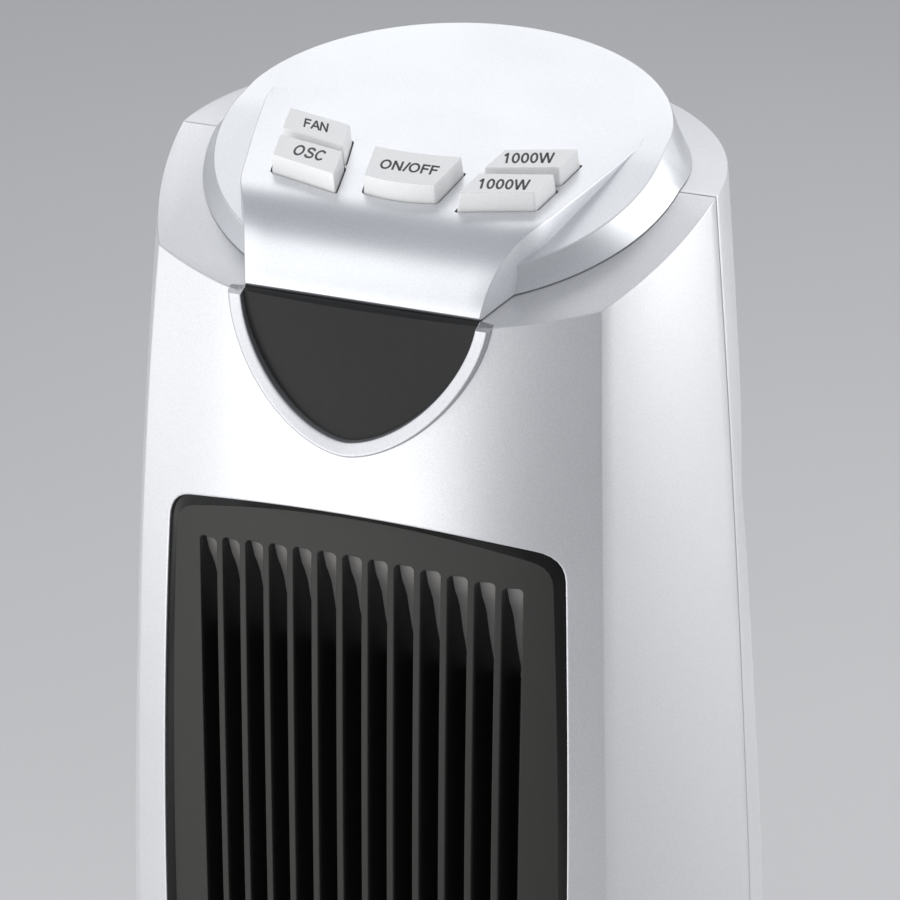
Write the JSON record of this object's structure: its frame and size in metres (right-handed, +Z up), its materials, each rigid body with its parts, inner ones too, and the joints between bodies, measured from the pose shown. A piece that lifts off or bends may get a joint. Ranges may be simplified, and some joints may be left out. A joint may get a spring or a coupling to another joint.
{
  "type": "oscillating tower fan heater",
  "caption": "Oscillating tower fan heater on a round base, with a tilted key deck, a smoked display window and an upright slotted outlet.",
  "frame": {"origin": "on the floor, at the centre of the round base", "axes": "+Z up along the axis the tower turns on, the air outlet faces -Y, +X to the right of somebody looking along +Y at the front"},
  "size_m": [0.24, 0.24, 0.5752],
  "materials": {
    "silver_plastic": "silver painted plastic, satin",
    "key_plastic": "light grey keys, fine texture",
    "charcoal_plastic": "charcoal, satin",
    "smoked_window": "dark smoked plastic, fairly glossy",
    "black_plastic": "moulded black",
    "white_nylon": "natural nylon",
    "board": "green circuit board",
    "ceramic": "pale heat-resistant moulding",
    "filter_foam": "open dark foam",
    "rubber": "black rubber",
    "steel": "plated",
    "aluminium": "finned"
  },
  "bodies": {
    "base": {"base_cover": "silver_plastic", "base_plate": "black_plastic", "base_screw_1": "steel", "base_screw_2": "steel", "base_screw_3": "steel", "base_screw_4": "steel", "rubber_foot_1": "rubber", "rubber_foot_2": "rubber", "rubber_foot_3": "rubber", "rubber_foot_4": "rubber", "ballast_weight": "steel", "cord_gland": "rubber", "tip_switch": "black_plastic", "oscillation_gear": "white_nylon", "thrust_ring": "white_nylon"},
    "tower": {"front_shell": "silver_plastic", "rear_shell": "silver_plastic", "shell_screw_1": "steel", "shell_screw_2": "steel", "shell_screw_3": "steel", "shell_screw_4": "steel", "control_cap": "silver_plastic", "control_board": "board", "switch_fan": "black_plastic", "switch_oscillate": "black_plastic", "switch_power": "black_plastic", "switch_heat_low": "black_plastic", "switch_heat_high": "black_plastic", "display_window": "smoked_window", "display_board": "board", "outlet_grille": "charcoal_plastic", "upper_bearing": "steel", "blower_motor": "steel", "duct_lower_plate": "black_plastic", "duct_upper_plate": "black_plastic", "scroll_wall": "black_plastic", "cutoff_wall": "black_plastic", "heater_element": "aluminium", "heater_holder_bottom": "ceramic", "heater_holder_top": "ceramic", "thermal_cutout": "steel", "oscillation_motor": "steel", "tower_floor": "black_plastic", "pivot_retainer": "steel"},
    "blower": {"blower_wheel": "black_plastic", "blower_shaft": "steel"},
    "pinion": {"oscillation_pinion": "white_nylon"},
    "tip_plunger": {"tip_switch_plunger": "white_nylon"},
    "intake_panel": {"intake_grille": "silver_plastic", "dust_filter": "filter_foam"},
    "fan_key": {"key_fan": "key_plastic"},
    "oscillate_key": {"key_oscillate": "key_plastic"},
    "power_key": {"key_power": "key_plastic"},
    "heat_low_key": {"key_heat_low": "key_plastic"},
    "heat_high_key": {"key_heat_high": "key_plastic"}
  },
  "joints": [
    {"name": "tower_oscillation", "type": "hinge", "parent": "base", "child": "tower", "pos_m": [0, 0, 0.06], "axis": [0, 0, 1], "range_deg": [-35, 35]},
    {"name": "blower_spin", "type": "hinge", "parent": "tower", "child": "blower", "pos_m": [0, 0.022, 0.1], "axis": [0, 0, 1], "continuous": true},
    {"name": "pinion_turn", "type": "hinge", "parent": "tower", "child": "pinion", "pos_m": [0, 0.05, 0.06], "axis": [0, 0, 1], "range_deg": [-141, 141]},
    {"name": "tip_plunger_slide", "type": "slide", "parent": "base", "child": "tip_plunger", "axis": [0, 0, -1], "range_m": [0, 0.006], "stiffness_N_per_m": 50},
    {"name": "intake_panel_slide", "type": "slide", "parent": "tower", "child": "intake_panel", "axis": [0, 1, 0], "range_m": [0, 0.025]},
    {"name": "fan_key_press", "type": "slide", "parent": "tower", "child": "fan_key", "axis": [0, 0.0767, -0.9971], "range_m": [0, 0.0015], "stiffness_N_per_m": 500},
    {"name": "oscillate_key_press", "type": "slide", "parent": "tower", "child": "oscillate_key", "axis": [0, 0.0767, -0.9971], "range_m": [0, 0.0015], "stiffness_N_per_m": 500},
    {"name": "power_key_press", "type": "slide", "parent": "tower", "child": "power_key", "axis": [0, 0.0767, -0.9971], "range_m": [0, 0.0015], "stiffness_N_per_m": 500},
    {"name": "heat_low_key_press", "type": "slide", "parent": "tower", "child": "heat_low_key", "axis": [0, 0.0767, -0.9971], "range_m": [0, 0.0015], "stiffness_N_per_m": 500},
    {"name": "heat_high_key_press", "type": "slide", "parent": "tower", "child": "heat_high_key", "axis": [0, 0.0767, -0.9971], "range_m": [0, 0.0015], "stiffness_N_per_m": 500}
  ],
  "couplings": [
    {"joint": "pinion_turn", "follows": "tower_oscillation", "ratio": 4}
  ]
}
